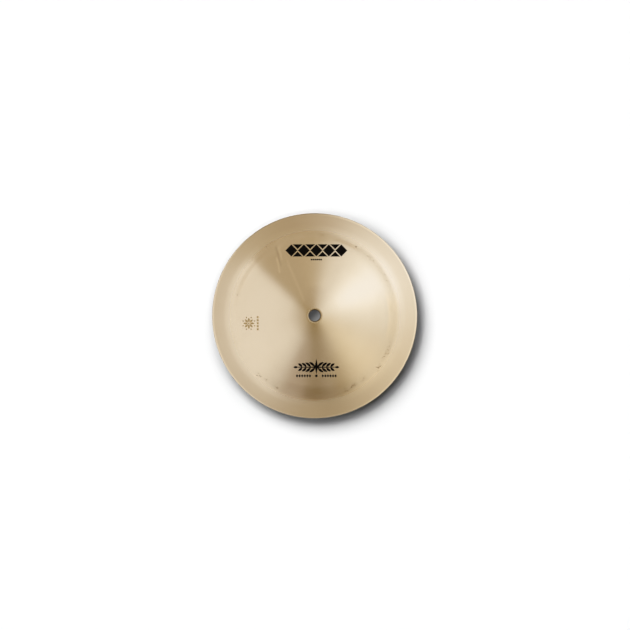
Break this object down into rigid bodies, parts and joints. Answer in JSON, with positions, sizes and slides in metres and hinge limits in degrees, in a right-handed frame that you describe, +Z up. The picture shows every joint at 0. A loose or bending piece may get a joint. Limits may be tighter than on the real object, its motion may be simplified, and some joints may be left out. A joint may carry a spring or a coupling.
{
  "type": "bell cymbal",
  "caption": "Bell cymbal: one deep cast bronze bell with a flared brim and a central hole for a stand's rod, struck with a stick.",
  "frame": {"origin": "on the bell's axis, in the plane that the rim rests on", "axes": "+Z up along the axis, out through the hole in the crown; the bell is the same all round, so +X and +Y are any two directions square to the axis"},
  "size_m": [0.2414, 0.2414, 0.0579],
  "materials": {
    "bell_bronze": "cast tin bronze, turned and buffed bright over fine concentric tool lines"
  },
  "bodies": {
    "root": {"bronze_bell": "bell_bronze"}
  },
  "joints": []
}
